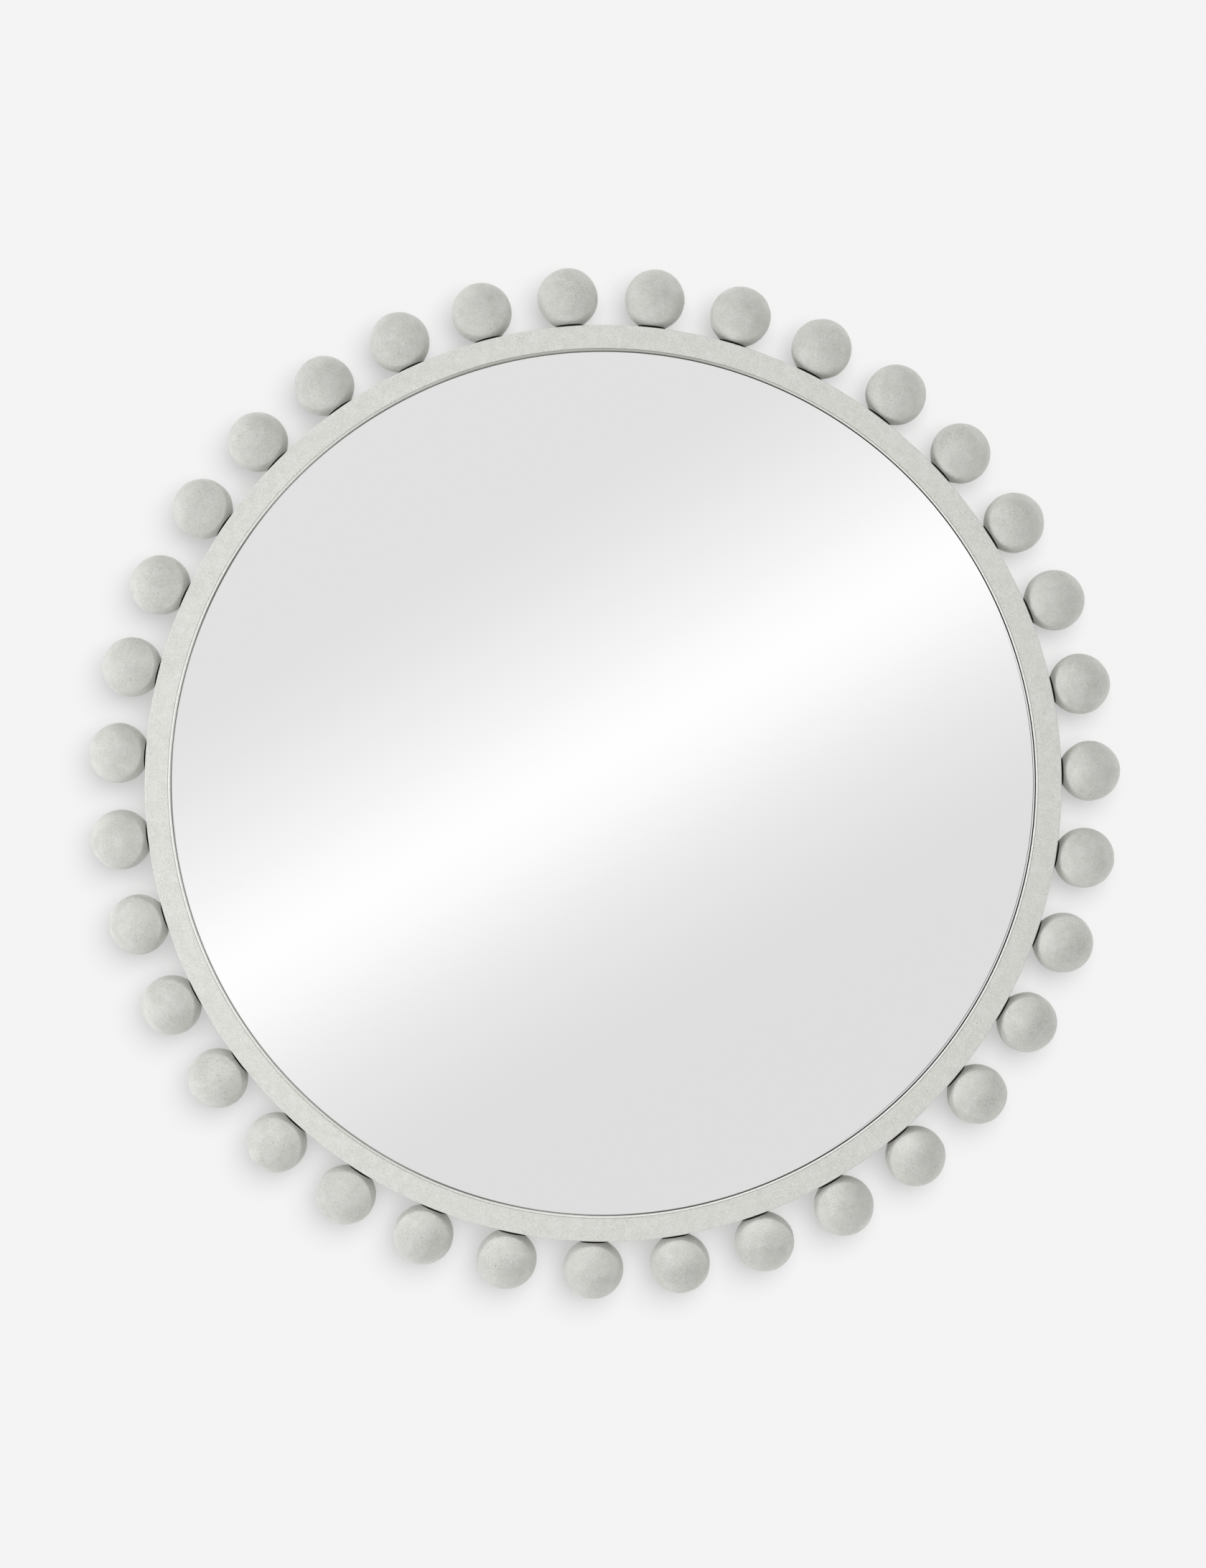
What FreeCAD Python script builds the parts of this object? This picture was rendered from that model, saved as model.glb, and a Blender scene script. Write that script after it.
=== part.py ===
import FreeCAD, Part
import Sketcher
import math
import os
import re

# Round wall mirror whose steel frame is trimmed with a ring of hollow balls.
# The front faces -Y, +Z is up. The origin lies midway between the two keyholes that
# the mirror hangs by, in the plane of the frame's back edge. Millimetres throughout.

SIZES = {
    # Frame
    "frame_diameter": 989,
    "frame_depth": 55,
    "band_thickness": 2.5,
    "face_width": 25.5,
    "face_thickness": 2.5,
    "face_outer_rounding": 1.0,
    "face_inner_rounding": 1.4,
    # Fine bead round the glass
    "sight_thickness": 2.0,
    "sight_height": 0.4,
    "sight_rounding": 0.9,
    "recess_depth": 8,
    # Ring of balls
    "ball_count": 35,
    "ball_turn": 6.2,
    "ball_diameter": 65,
    "ball_wall": 1.2,
    "ball_flat_depth": 3.0,
    "neck_spread": 1.25,
    "ball_setback": 20,
    "seam_width": 0.9,
    "seam_depth": 0.45,
    "weld_thickness": 2.5,
    "weld_recess": 2.2,
    "weld_flare": 1.0,
    # Glass and what lies behind it
    "tape_thickness": 1.5,
    "tape_width": 5,
    "glass_thickness": 4,
    "glass_overlap": 8,
    "glass_arris": 0.5,
    "foam_thickness": 2,
    "foam_margin": 2,
    "board_thickness": 6,
    "board_clearance": 0.8,
    # Lugs, turn buttons and their screws
    "button_count": 8,
    "lug_length": 10.5,
    "lug_width": 16,
    "lug_thickness": 2.5,
    "button_reach": 22,
    "button_width": 10,
    "button_thickness": 1.5,
    "button_play": 0.1,
    "pivot_inset": 6,
    "screw_diameter": 4,
    "screw_play": 0.1,
    "screw_end": 1.5,
    "screw_head_diameter": 8,
    "screw_head_height": 2.4,
    "screw_slot_width": 1.0,
    "screw_slot_depth": 1.1,
    "washer_diameter": 9,
    "washer_thickness": 0.8,
    # Hanger plates, rest tabs and wall bumpers
    "hanger_spacing": 400,
    "keyhole_inset": 29.5,
    "plate_thickness": 3,
    "plate_width": 70,
    "plate_drop": 22,
    "plate_corner": 6,
    "keyhole_diameter": 10,
    "keyhole_slot": 5,
    "keyhole_rise": 12,
    "tab_width": 40,
    "bumper_diameter": 14,
    "bumper_thickness": 3,
    "bumper_rounding": 0.8,
    "bumper_offset": 22,
    "bumper_drop": 8,
    # How far a cutter runs past what it cuts
    "overrun": 60,
}

# Radii about the mirror's centre
BAND_OUTSIDE = "(frame_diameter / 2)"
BAND_INSIDE = f"({BAND_OUTSIDE} - band_thickness)"
SIGHT_OUTSIDE = f"({BAND_OUTSIDE} - face_width)"
SIGHT_INSIDE = f"({SIGHT_OUTSIDE} - sight_thickness)"
GLASS_EDGE = f"({SIGHT_INSIDE} + glass_overlap)"
LUG_INSIDE = f"({BAND_INSIDE} - lug_length)"
BOARD_EDGE = f"({LUG_INSIDE} - board_clearance)"
PIVOT = f"({BAND_INSIDE} - pivot_inset)"

# How far above the mirror's centre the keyholes are
HANGER_HEIGHT = f"(sqrt({BAND_INSIDE}^2 - (hanger_spacing / 2)^2) - keyhole_inset)"

# Heights above the frame's back edge, towards the front
FACE_BACK = "(frame_depth - face_thickness)"
GLASS_FRONT = "(frame_depth - recess_depth)"
GLASS_BACK = f"({GLASS_FRONT} - glass_thickness)"
FOAM_BACK = f"({GLASS_BACK} - foam_thickness)"
BOARD_BACK = f"({FOAM_BACK} - board_thickness)"
BUTTON_BACK = f"({BOARD_BACK} - button_play - button_thickness)"
WASHER_BACK = f"({BUTTON_BACK} - button_play - washer_thickness)"
HEAD_BACK = f"({WASHER_BACK} - screw_head_height)"
BALL_PLANE = "(frame_depth - ball_setback)"

# A ball about its own centre, and the circle that the balls stand on
BALL_OUTSIDE = "(ball_diameter / 2)"
BALL_INSIDE = f"({BALL_OUTSIDE} - ball_wall)"
BALL_SEAT = f"({BALL_OUTSIDE} - ball_flat_depth)"
NECK_OUTSIDE = f"(sqrt({BALL_OUTSIDE}^2 - {BALL_SEAT}^2) + neck_spread)"
NECK_INSIDE = f"sqrt({BALL_INSIDE}^2 - {BALL_SEAT}^2)"
WELD_FRONT = f"({BAND_OUTSIDE} + weld_thickness)"
BALL_CIRCLE = f"({WELD_FRONT} + {BALL_SEAT})"

doc = FreeCAD.newDocument("RoundMirror")
parts = []


def fill_sheet():
    """Put every driving size in a cell of its own, under its name."""
    sheet = doc.addObject("Spreadsheet::Sheet", "Sizes")
    for row, (name, value) in enumerate(SIZES.items(), start=1):
        sheet.set(f"A{row}", name.replace("_", " "))
        sheet.set(f"B{row}", str(value))
        sheet.setAlias(f"B{row}", name)
    doc.recompute()


def formula(text):
    """Point each size's name in the text at its cell."""
    return re.sub("[a-z_]+", lambda word: f"Sizes.{word[0]}" if word[0] in SIZES else word[0], text)


def new_part(label, angle="0", radius="0", height="0"):
    """Start a piece of the mirror about the mirror's centre, or about a point on a circle.

    The point stands at the given angle, from +X towards +Z, with its own X axis outwards.
    """
    body = doc.addObject("PartDesign::Body", label)
    body.Label = label
    place = f"vector({radius} * cos({angle}); -{height}; {radius} * sin({angle}) - {HANGER_HEIGHT})"
    spin = f"rotation(vector(0; 1; 0); -{angle})"
    body.setExpression("Placement", formula(f"placement({place}; {spin})"))
    parts.append(body)
    return body


def new_sketch(body, name, plane, height="0", side="0"):
    """Attach a sketch to one of the body's own planes, raised along its normal or moved along Y."""
    sketch = body.newObject("Sketcher::SketchObject", f"{body.Label}_{name}")
    origin = body.Origin.OriginFeatures
    sketch.AttachmentSupport = [(next(item for item in origin if item.Role == plane), "")]
    sketch.MapMode = "FlatFace"
    sketch.setExpression("AttachmentOffset.Base.z", formula(height))
    sketch.setExpression("AttachmentOffset.Base.y", formula(side))
    return sketch


def bind(sketch, kind, edge, end, text):
    """Hold one end of an edge at a distance from the sketch's origin, starting where it is."""
    point = sketch.getPoint(edge, end)
    start = {"DistanceX": point.x, "DistanceY": point.y}[kind]
    index = sketch.addConstraint(Sketcher.Constraint(kind, -1, 1, edge, end, start))
    sketch.setExpression(f"Constraints[{index}]", formula(text))


def bind_radius(sketch, edge, text):
    start = sketch.Geometry[edge].Radius
    index = sketch.addConstraint(Sketcher.Constraint("Radius", edge, start))
    sketch.setExpression(f"Constraints[{index}]", formula(text))


def join(sketch, edge, end, other, other_end):
    sketch.addConstraint(Sketcher.Constraint("Coincident", edge, end, other, other_end))


def draw_outline(sketch, corners):
    """Draw straight edges round the corners, each corner given by two formulas."""
    count = len(corners)
    first = sketch.GeometryCount
    bearings = [2 * math.pi * step / count for step in range(count)]
    start = [FreeCAD.Vector(math.cos(bearing), math.sin(bearing), 0) for bearing in bearings]
    for step in range(count):
        sketch.addGeometry(Part.LineSegment(start[step], start[(step + 1) % count]), False)
    for step in range(count):
        join(sketch, first + step, 2, first + (step + 1) % count, 1)
    for step, (across, along) in enumerate(corners):
        bind(sketch, "DistanceX", first + step, 1, across)
        bind(sketch, "DistanceY", first + step, 1, along)


def draw_box(sketch, left, right, low, high):
    draw_outline(sketch, [(left, low), (right, low), (right, high), (left, high)])


def draw_circle(sketch, radius, across="0", along="0"):
    circle = Part.Circle(FreeCAD.Vector(0, 0, 0), FreeCAD.Vector(0, 0, 1), 1)
    index = sketch.addGeometry(circle, False)
    bind(sketch, "DistanceX", index, 3, across)
    bind(sketch, "DistanceY", index, 3, along)
    bind_radius(sketch, index, radius)


def pad(body, sketch, length):
    """Thicken a sketch along its normal, which points to the front."""
    feature = body.newObject("PartDesign::Pad", f"{sketch.Label}_pad")
    feature.Profile = sketch
    feature.setExpression("Length", formula(length))
    sketch.Visibility = False
    doc.recompute()
    return feature


def cut_through(body, sketch):
    """Cut a sketch through the whole piece, and make sure that it cut something."""
    doc.recompute()
    before = body.Shape.Volume
    feature = body.newObject("PartDesign::Pocket", f"{sketch.Label}_cut")
    feature.Profile = sketch
    feature.Type = "ThroughAll"
    feature.Midplane = True
    doc.recompute()
    if not body.Shape.Volume < before:
        raise RuntimeError(f"{sketch.Label} cuts nothing")
    return feature


def revolve(body, sketch, axis):
    feature = body.newObject("PartDesign::Revolution", f"{sketch.Label}_turned")
    feature.Profile = sketch
    feature.ReferenceAxis = (sketch, [axis])
    feature.Angle = 360
    doc.recompute()
    return feature


def repeat_round(body, features, count):
    """Repeat features round the mirror's axis, which is the body's own Y axis."""
    origin = body.Origin.OriginFeatures
    pattern = body.newObject("PartDesign::PolarPattern", f"{body.Label}_pattern")
    pattern.Originals = features
    pattern.Axis = (next(item for item in origin if item.Role == "Y_Axis"), [""])
    pattern.Angle = 360
    pattern.setExpression("Occurrences", formula(count))
    body.Tip = pattern
    doc.recompute()
    return pattern


def round_edges(body, chosen, radius):
    """Round the edges of the body's last feature that the test picks out."""
    doc.recompute()
    tip = body.Tip
    edges = tip.Shape.Edges
    names = [f"Edge{index}" for index, edge in enumerate(edges, start=1) if chosen(edge)]
    if not names:
        raise RuntimeError(f"{body.Label} has no such edge")
    feature = body.newObject("PartDesign::Fillet", f"{body.Label}_rounding_{tip.Name}")
    feature.Base = (tip, names)
    feature.setExpression("Radius", formula(radius))
    doc.recompute()


def is_ring(edge):
    return isinstance(edge.Curve, Part.Circle)


def front_ring(body, outermost):
    """Pick the outermost or innermost of the circles that lie furthest to the front."""
    rings = [edge for edge in body.Tip.Shape.Edges if is_ring(edge)]
    front = min(ring.Curve.Center.y for ring in rings)
    level = [ring for ring in rings if math.isclose(ring.Curve.Center.y, front)]
    radii = [ring.Curve.Radius for ring in level]
    wanted = max(radii) if outermost else min(radii)
    return lambda edge: (is_ring(edge) and math.isclose(edge.Curve.Center.y, front)
                         and math.isclose(edge.Curve.Radius, wanted))


def turned_ring(label, inside, outside, back, front):
    """A flat-sided ring about the mirror's axis, given by its radii and heights."""
    body = new_part(label)
    sketch = new_sketch(body, "section", "XY_Plane")
    draw_box(sketch, inside, outside, f"-{front}", f"-{back}")
    revolve(body, sketch, "V_Axis")
    return body


def flat_disc(label, radius, back, thickness):
    body = new_part(label)
    sketch = new_sketch(body, "rim", "XZ_Plane", back)
    draw_circle(sketch, radius)
    pad(body, sketch, thickness)
    return body


def make_face_ring():
    """The flat front of the frame, with both its edges eased."""
    body = turned_ring("face_ring", SIGHT_OUTSIDE, BAND_OUTSIDE, FACE_BACK, "frame_depth")
    round_edges(body, front_ring(body, outermost=True), "face_outer_rounding")
    round_edges(body, front_ring(body, outermost=False), "face_inner_rounding")


def make_outer_band():
    """The rolled hoop behind the face's outer edge."""
    turned_ring("outer_band", BAND_INSIDE, BAND_OUTSIDE, "0", FACE_BACK)


def make_sight_band():
    """The thin hoop inside the face, whose rounded edge stands a little proud of it."""
    front = "(frame_depth + sight_height)"
    back = f"({GLASS_FRONT} + tape_thickness)"
    body = turned_ring("sight_band", SIGHT_INSIDE, SIGHT_OUTSIDE, back, front)
    round_edges(body, front_ring(body, outermost=True), "sight_rounding")
    round_edges(body, front_ring(body, outermost=False), "sight_rounding")


def draw_ball_section(sketch):
    """Half the section of a hollow ball about its own X axis, open at its flat.

    The outside is an arc from the pole to the seam's groove, an arc on to the shoulder, and the
    neck's straight side, which leaves that arc as a tangent and ends at the flat. The inside is
    one arc.
    """
    outside = SIZES["ball_diameter"] / 2
    inside = outside - SIZES["ball_wall"]
    seat = outside - SIZES["ball_flat_depth"]
    neck_radius = math.sqrt(outside ** 2 - seat ** 2) + SIZES["neck_spread"]
    corner = FreeCAD.Vector(-seat, neck_radius, 0)
    centre = FreeCAD.Vector(0, 0, 0)
    axis = FreeCAD.Vector(0, 0, 1)
    outer = Part.Circle(centre, axis, outside)
    inner = Part.Circle(centre, axis, inside)
    quarter = math.pi / 2
    tilt = math.asin(SIZES["seam_width"] / SIZES["ball_diameter"])
    shoulder = math.atan2(corner.y, corner.x) - math.acos(outside / corner.Length)
    opening = math.acos(-seat / inside)
    outer_arc, near_arc, inner_arc, groove_out, groove_in, pole, neck, flat = range(8)
    sketch.addGeometry(Part.ArcOfCircle(outer, 0, quarter - tilt), False)
    sketch.addGeometry(Part.ArcOfCircle(outer, quarter + tilt, shoulder), False)
    sketch.addGeometry(Part.ArcOfCircle(inner, 0, opening), False)
    top = FreeCAD.Vector(0, outside - SIZES["seam_depth"], 0)
    curves = [sketch.Geometry[index] for index in (outer_arc, near_arc, inner_arc)]
    sketch.addGeometry(Part.LineSegment(curves[0].EndPoint, top), False)
    sketch.addGeometry(Part.LineSegment(top, curves[1].StartPoint), False)
    sketch.addGeometry(Part.LineSegment(curves[0].StartPoint, curves[2].StartPoint), False)
    sketch.addGeometry(Part.LineSegment(curves[1].EndPoint, corner), False)
    sketch.addGeometry(Part.LineSegment(corner, curves[2].EndPoint), False)
    for arc in (outer_arc, near_arc, inner_arc):
        join(sketch, arc, 3, -1, 1)
    join(sketch, outer_arc, 2, groove_out, 1)
    join(sketch, groove_out, 2, groove_in, 1)
    join(sketch, groove_in, 2, near_arc, 1)
    sketch.addConstraint(Sketcher.Constraint("Tangent", near_arc, 2, neck, 1))
    join(sketch, neck, 2, flat, 1)
    join(sketch, flat, 2, inner_arc, 2)
    join(sketch, inner_arc, 1, pole, 2)
    join(sketch, pole, 1, outer_arc, 1)
    sketch.addConstraint(Sketcher.Constraint("PointOnObject", outer_arc, 1, -1))
    sketch.addConstraint(Sketcher.Constraint("PointOnObject", inner_arc, 1, -1))
    sketch.addConstraint(Sketcher.Constraint("PointOnObject", groove_out, 2, -2))
    bind_radius(sketch, outer_arc, BALL_OUTSIDE)
    bind_radius(sketch, near_arc, BALL_OUTSIDE)
    bind_radius(sketch, inner_arc, BALL_INSIDE)
    bind(sketch, "DistanceX", outer_arc, 2, "seam_width / 2")
    bind(sketch, "DistanceX", near_arc, 1, "-seam_width / 2")
    bind(sketch, "DistanceY", groove_out, 2, f"{BALL_OUTSIDE} - seam_depth")
    bind(sketch, "DistanceX", neck, 2, f"-{BALL_SEAT}")
    bind(sketch, "DistanceY", neck, 2, NECK_OUTSIDE)
    bind(sketch, "DistanceX", inner_arc, 2, f"-{BALL_SEAT}")


def ball_angle(number):
    """Balls are numbered clockwise from just right of the top, as seen from the front."""
    return f"(90 - ball_turn - {number} * 360 / ball_count)"


def make_ball(number):
    label = f"ball_{number + 1:02d}"
    body = new_part(label, ball_angle(number), BALL_CIRCLE, BALL_PLANE)
    sketch = new_sketch(body, "section", "XY_Plane")
    draw_ball_section(sketch)
    revolve(body, sketch, "H_Axis")


def make_ball_welds():
    """One weld bead in the gap under each neck, flared towards the band and shaped to its curve.

    The section starts as deep in the band as the bead is thick, so it flares twice as far there
    before the band's curve cuts it off.
    """
    body = new_part("ball_welds", ball_angle(0))
    sketch = new_sketch(body, "section", "XY_Plane", side=f"-{BALL_PLANE}")
    root = f"({BAND_OUTSIDE} - weld_thickness)"
    tip_outside = f"({NECK_OUTSIDE} - weld_recess)"
    root_outside = f"({tip_outside} + 2 * weld_flare)"
    corners = [
        (root, NECK_INSIDE),
        (root, root_outside),
        (WELD_FRONT, tip_outside),
        (WELD_FRONT, NECK_INSIDE),
    ]
    draw_outline(sketch, corners)
    bead = revolve(body, sketch, "H_Axis")
    repeat_round(body, [bead], "ball_count")
    trim = new_sketch(body, "band", "XZ_Plane")
    draw_circle(trim, BAND_OUTSIDE)
    cut_through(body, trim)


def make_glazing():
    """The glass with its eased edge, the foam strip before it and the layers behind it."""
    turned_ring("glazing_tape", SIGHT_INSIDE, f"({SIGHT_INSIDE} + tape_width)",
                GLASS_FRONT, f"({GLASS_FRONT} + tape_thickness)")
    glass = flat_disc("mirror_plate", GLASS_EDGE, GLASS_BACK, "glass_thickness")
    round_edges(glass, front_ring(glass, outermost=True), "glass_arris")
    flat_disc("foam_sheet", f"({GLASS_EDGE} - foam_margin)", FOAM_BACK, "foam_thickness")
    flat_disc("backing_board", BOARD_EDGE, BOARD_BACK, "board_thickness")


def trim_to_band(body):
    """Shape a piece's outer end to the inside of the outer band, which it is welded to."""
    sketch = new_sketch(body, "band", "XZ_Plane")
    draw_circle(sketch, BAND_INSIDE)
    draw_circle(sketch, f"({BAND_OUTSIDE} + overrun)")
    return cut_through(body, sketch)


def make_button_lugs():
    """Tabs inside the outer band, level with the board's back, tapped for the screws."""
    body = new_part("button_lugs")
    block = new_sketch(body, "block", "XZ_Plane", BOARD_BACK)
    draw_box(block, LUG_INSIDE, f"({BAND_INSIDE} + lug_length)", "-lug_width / 2", "lug_width / 2")
    lug = pad(body, block, "lug_thickness")
    hole = new_sketch(body, "hole", "XZ_Plane")
    draw_circle(hole, "screw_diameter / 2", PIVOT)
    tapped = cut_through(body, hole)
    repeat_round(body, [lug, tapped], "button_count")
    trim_to_band(body)


def button_angle(number):
    return f"({number} * 360 / button_count)"


def make_turn_button(number):
    """A strip with round ends that turns on its screw; its nose reaches over the board."""
    body = new_part(f"turn_button_{number + 1}", button_angle(number), PIVOT, BUTTON_BACK)
    nose = "(button_width / 2 - button_reach)"
    strip = new_sketch(body, "strip", "XZ_Plane")
    draw_box(strip, nose, "0", "-button_width / 2", "button_width / 2")
    pad(body, strip, "button_thickness")
    for name, place in (("tail", "0"), ("nose", nose)):
        end = new_sketch(body, name, "XZ_Plane")
        draw_circle(end, "button_width / 2", place)
        pad(body, end, "button_thickness")
    hole = new_sketch(body, "hole", "XZ_Plane")
    draw_circle(hole, "screw_diameter / 2 + screw_play")
    cut_through(body, hole)


def make_button_screws():
    """Slotted screws, all alike, with their heads to the back."""
    body = new_part("button_screws")
    head_sketch = new_sketch(body, "head", "XZ_Plane", HEAD_BACK)
    draw_circle(head_sketch, "screw_head_diameter / 2", PIVOT)
    head = pad(body, head_sketch, "screw_head_height")
    shank_sketch = new_sketch(body, "shank", "XZ_Plane", WASHER_BACK)
    draw_circle(shank_sketch, "screw_diameter / 2", PIVOT)
    shank = pad(body, shank_sketch, f"{BOARD_BACK} + lug_thickness + screw_end - {WASHER_BACK}")
    slot_sketch = new_sketch(body, "slot", "XZ_Plane", f"({HEAD_BACK} + screw_slot_depth)")
    draw_box(slot_sketch, f"({PIVOT} - screw_head_diameter)", f"({PIVOT} + screw_head_diameter)",
             "-screw_slot_width / 2", "screw_slot_width / 2")
    slot = body.newObject("PartDesign::Pocket", "button_screws_slot_cut")
    slot.Profile = slot_sketch
    slot.setExpression("Length", formula("overrun"))
    doc.recompute()
    repeat_round(body, [head, shank, slot], "button_count")


def make_button_washers():
    body = new_part("button_washers")
    sketch = new_sketch(body, "ring", "XZ_Plane", WASHER_BACK)
    draw_circle(sketch, "washer_diameter / 2", PIVOT)
    draw_circle(sketch, "screw_diameter / 2 + screw_play", PIVOT)
    washer = pad(body, sketch, "washer_thickness")
    repeat_round(body, [washer], "button_count")


def plate_part(label, side, keyhole_side, half_width):
    """A plate flush with the frame's back edge, from inside the keyholes' line to the band."""
    body = new_part(label)
    middle = f"({side} * hanger_spacing / 2)"
    foot = f"({keyhole_side} * ({HANGER_HEIGHT} - plate_drop))"
    clipped = f"({keyhole_side} * ({HANGER_HEIGHT} - plate_drop + plate_corner))"
    far = f"({keyhole_side} * ({HANGER_HEIGHT} + overrun))"
    outer = f"({half_width})"
    inner = f"({half_width} - plate_corner)"
    corners = [
        (f"{middle} - {outer}", far),
        (f"{middle} - {outer}", clipped),
        (f"{middle} - {inner}", foot),
        (f"{middle} + {inner}", foot),
        (f"{middle} + {outer}", clipped),
        (f"{middle} + {outer}", far),
    ]
    sketch = new_sketch(body, "plate", "XZ_Plane")
    draw_outline(sketch, corners)
    pad(body, sketch, "plate_thickness")
    trim_to_band(body)
    return body


def make_hanger_plate(label, side):
    """The screw's head enters the round hole, and its neck slides up the slot."""
    body = plate_part(label, side, 1, "plate_width / 2")
    middle = f"({side} * hanger_spacing / 2)"
    entry = new_sketch(body, "entry", "XZ_Plane")
    draw_circle(entry, "keyhole_diameter / 2", middle, HANGER_HEIGHT)
    cut_through(body, entry)
    slot = new_sketch(body, "slot", "XZ_Plane")
    draw_box(slot, f"{middle} - keyhole_slot / 2", f"{middle} + keyhole_slot / 2",
             HANGER_HEIGHT, f"{HANGER_HEIGHT} + keyhole_rise")
    cut_through(body, slot)
    end = new_sketch(body, "slot_end", "XZ_Plane")
    draw_circle(end, "keyhole_slot / 2", middle, f"{HANGER_HEIGHT} + keyhole_rise")
    cut_through(body, end)


def make_wall_bumpers():
    """Rubber pads on the backs of the plates and tabs."""
    body = new_part("wall_bumpers")
    upper = f"({HANGER_HEIGHT} - bumper_drop)"
    lower = f"(-{HANGER_HEIGHT})"
    wide = "(hanger_spacing / 2 - bumper_offset)"
    narrow = "(hanger_spacing / 2)"
    for name, across, along in (
        ("upper_left", f"-{wide}", upper),
        ("upper_right", wide, upper),
        ("lower_left", f"-{narrow}", lower),
        ("lower_right", narrow, lower),
    ):
        sketch = new_sketch(body, name, "XZ_Plane", "-bumper_thickness")
        draw_circle(sketch, "bumper_diameter / 2", across, along)
        pad(body, sketch, "bumper_thickness")
    round_edges(body, lambda edge: is_ring(edge) and edge.Curve.Center.y > 0, "bumper_rounding")


def check_document():
    """Stop if any object failed to rebuild, or any piece has no sound shape."""
    doc.recompute()
    for item in doc.Objects:
        if "Invalid" in item.State or "Error" in item.State:
            raise RuntimeError(f"{item.Label} failed: {item.State}")
    for body in parts:
        if body.Shape.isNull() or not body.Shape.isValid() or not body.Shape.Solids:
            raise RuntimeError(f"{body.Label} has no sound shape")


def write_parts():
    os.makedirs("parts", exist_ok=True)
    for body in parts:
        body.Shape.exportStep(os.path.join("parts", f"{body.Label}.step"))
        box = body.Shape.BoundBox
        print(f"{body.Label}: {len(body.Shape.Solids)} solids, {box.XLength:.1f} x {box.YLength:.1f}"
              f" x {box.ZLength:.1f}, {body.Shape.Volume:.0f} mm3")


fill_sheet()
make_face_ring()
make_outer_band()
make_sight_band()
for number in range(SIZES["ball_count"]):
    make_ball(number)
make_ball_welds()
make_glazing()
make_button_lugs()
for number in range(SIZES["button_count"]):
    make_turn_button(number)
make_button_screws()
make_button_washers()
make_hanger_plate("hanger_plate_left", -1)
make_hanger_plate("hanger_plate_right", 1)
plate_part("rest_tab_left", -1, -1, "tab_width / 2")
plate_part("rest_tab_right", 1, -1, "tab_width / 2")
make_wall_bumpers()
check_document()
write_parts()
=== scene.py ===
# %% [markdown]
# # A round mirror trimmed with a ring of balls
#
# The real object is a flat steel ring, painted a warm off-white, with a hoop behind it that
# thirty-five hollow balls are welded to. A thin second hoop frames the glass from inside and
# shows as a fine bead. Behind the glass lie foam, a fibreboard and eight turn buttons.
#
# The measured model comes first, as a fixed frame of solids in metres. Everything below either
# gives one of these solids a finish, or puts a finer skin of the same size in its place.

# %% Load the measured model
import math

import bpy
import numpy as np
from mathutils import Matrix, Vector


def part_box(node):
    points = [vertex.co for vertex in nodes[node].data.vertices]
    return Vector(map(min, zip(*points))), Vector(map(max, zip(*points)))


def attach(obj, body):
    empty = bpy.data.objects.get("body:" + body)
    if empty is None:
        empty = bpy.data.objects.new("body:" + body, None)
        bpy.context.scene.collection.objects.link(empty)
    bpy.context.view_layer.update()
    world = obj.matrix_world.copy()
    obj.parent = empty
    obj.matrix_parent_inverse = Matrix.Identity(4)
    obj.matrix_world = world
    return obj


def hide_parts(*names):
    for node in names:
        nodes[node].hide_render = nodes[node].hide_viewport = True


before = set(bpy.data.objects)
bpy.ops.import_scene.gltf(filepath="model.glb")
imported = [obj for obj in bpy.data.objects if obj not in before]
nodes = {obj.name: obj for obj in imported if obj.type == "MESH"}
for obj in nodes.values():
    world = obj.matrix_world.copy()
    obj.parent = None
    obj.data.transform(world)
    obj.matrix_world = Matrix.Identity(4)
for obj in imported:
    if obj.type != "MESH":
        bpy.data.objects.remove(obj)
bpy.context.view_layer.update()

scene = bpy.context.scene

# %% [markdown]
# ## Sizes
#
# Skins that stand for a solid need its sizes. They are written once here, in metres, and the
# mirror's centre is read from the outer hoop, so every round piece shares one axis. Heights are
# counted from the frame's back edge towards the front, which looks along -Y.

# %% Sizes that the skins share
MM = 0.001
BALLS = 35
FIRST_BALL = math.radians(90 - 6.2)
BAND_OUTSIDE = 494.5 * MM
BAND_INSIDE = 492 * MM
SIGHT_OUTSIDE = 469 * MM
SIGHT_INSIDE = 467 * MM
FACE_FRONT = 55 * MM
FACE_BACK = 52.5 * MM
SIGHT_FRONT = 55.4 * MM
SIGHT_BACK = 48.5 * MM
GLASS_FRONT = 47 * MM
BALL_RADIUS = 32.5 * MM
BALL_WALL = 1.2 * MM
BALL_SEAT = 29.5 * MM
NECK_SPREAD = 1.25 * MM
BALL_CIRCLE = 526.5 * MM
BALL_HEIGHT = 35 * MM
WELD_RECESS = 2.2 * MM
WELD_FLARE = 1.0 * MM

band_low, band_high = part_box("outer_band")
CENTRE = np.array([0.0, 0.0, (band_low.z + band_high.z) / 2])
FORWARD = np.array([0.0, -1.0, 0.0])
rng = np.random.default_rng(35)
print("The mirror's centre is", round(-1000 * CENTRE[2], 2), "mm below the keyholes")

# %% [markdown]
# ## Camera
#
# The photograph was taken from straight in front with a long lens, a touch to the right of the
# middle. Its place and lens follow from how far the balls' ring and the frame's edge, which lie
# at different depths, stand apart in the picture. With the sensor's 36 mm along the picture's
# long side, a focal length in pixels turns into millimetres by one ratio.

# %% Place the camera
PICTURE_HEIGHT = 2185
FOCAL_PIXELS = 4822
SENSOR = 36
CAMERA_PLACE = (0.099, -3.785, -0.393)
DEGREES_DOWN = 0.42
DEGREES_LEFT = 1.498

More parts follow.
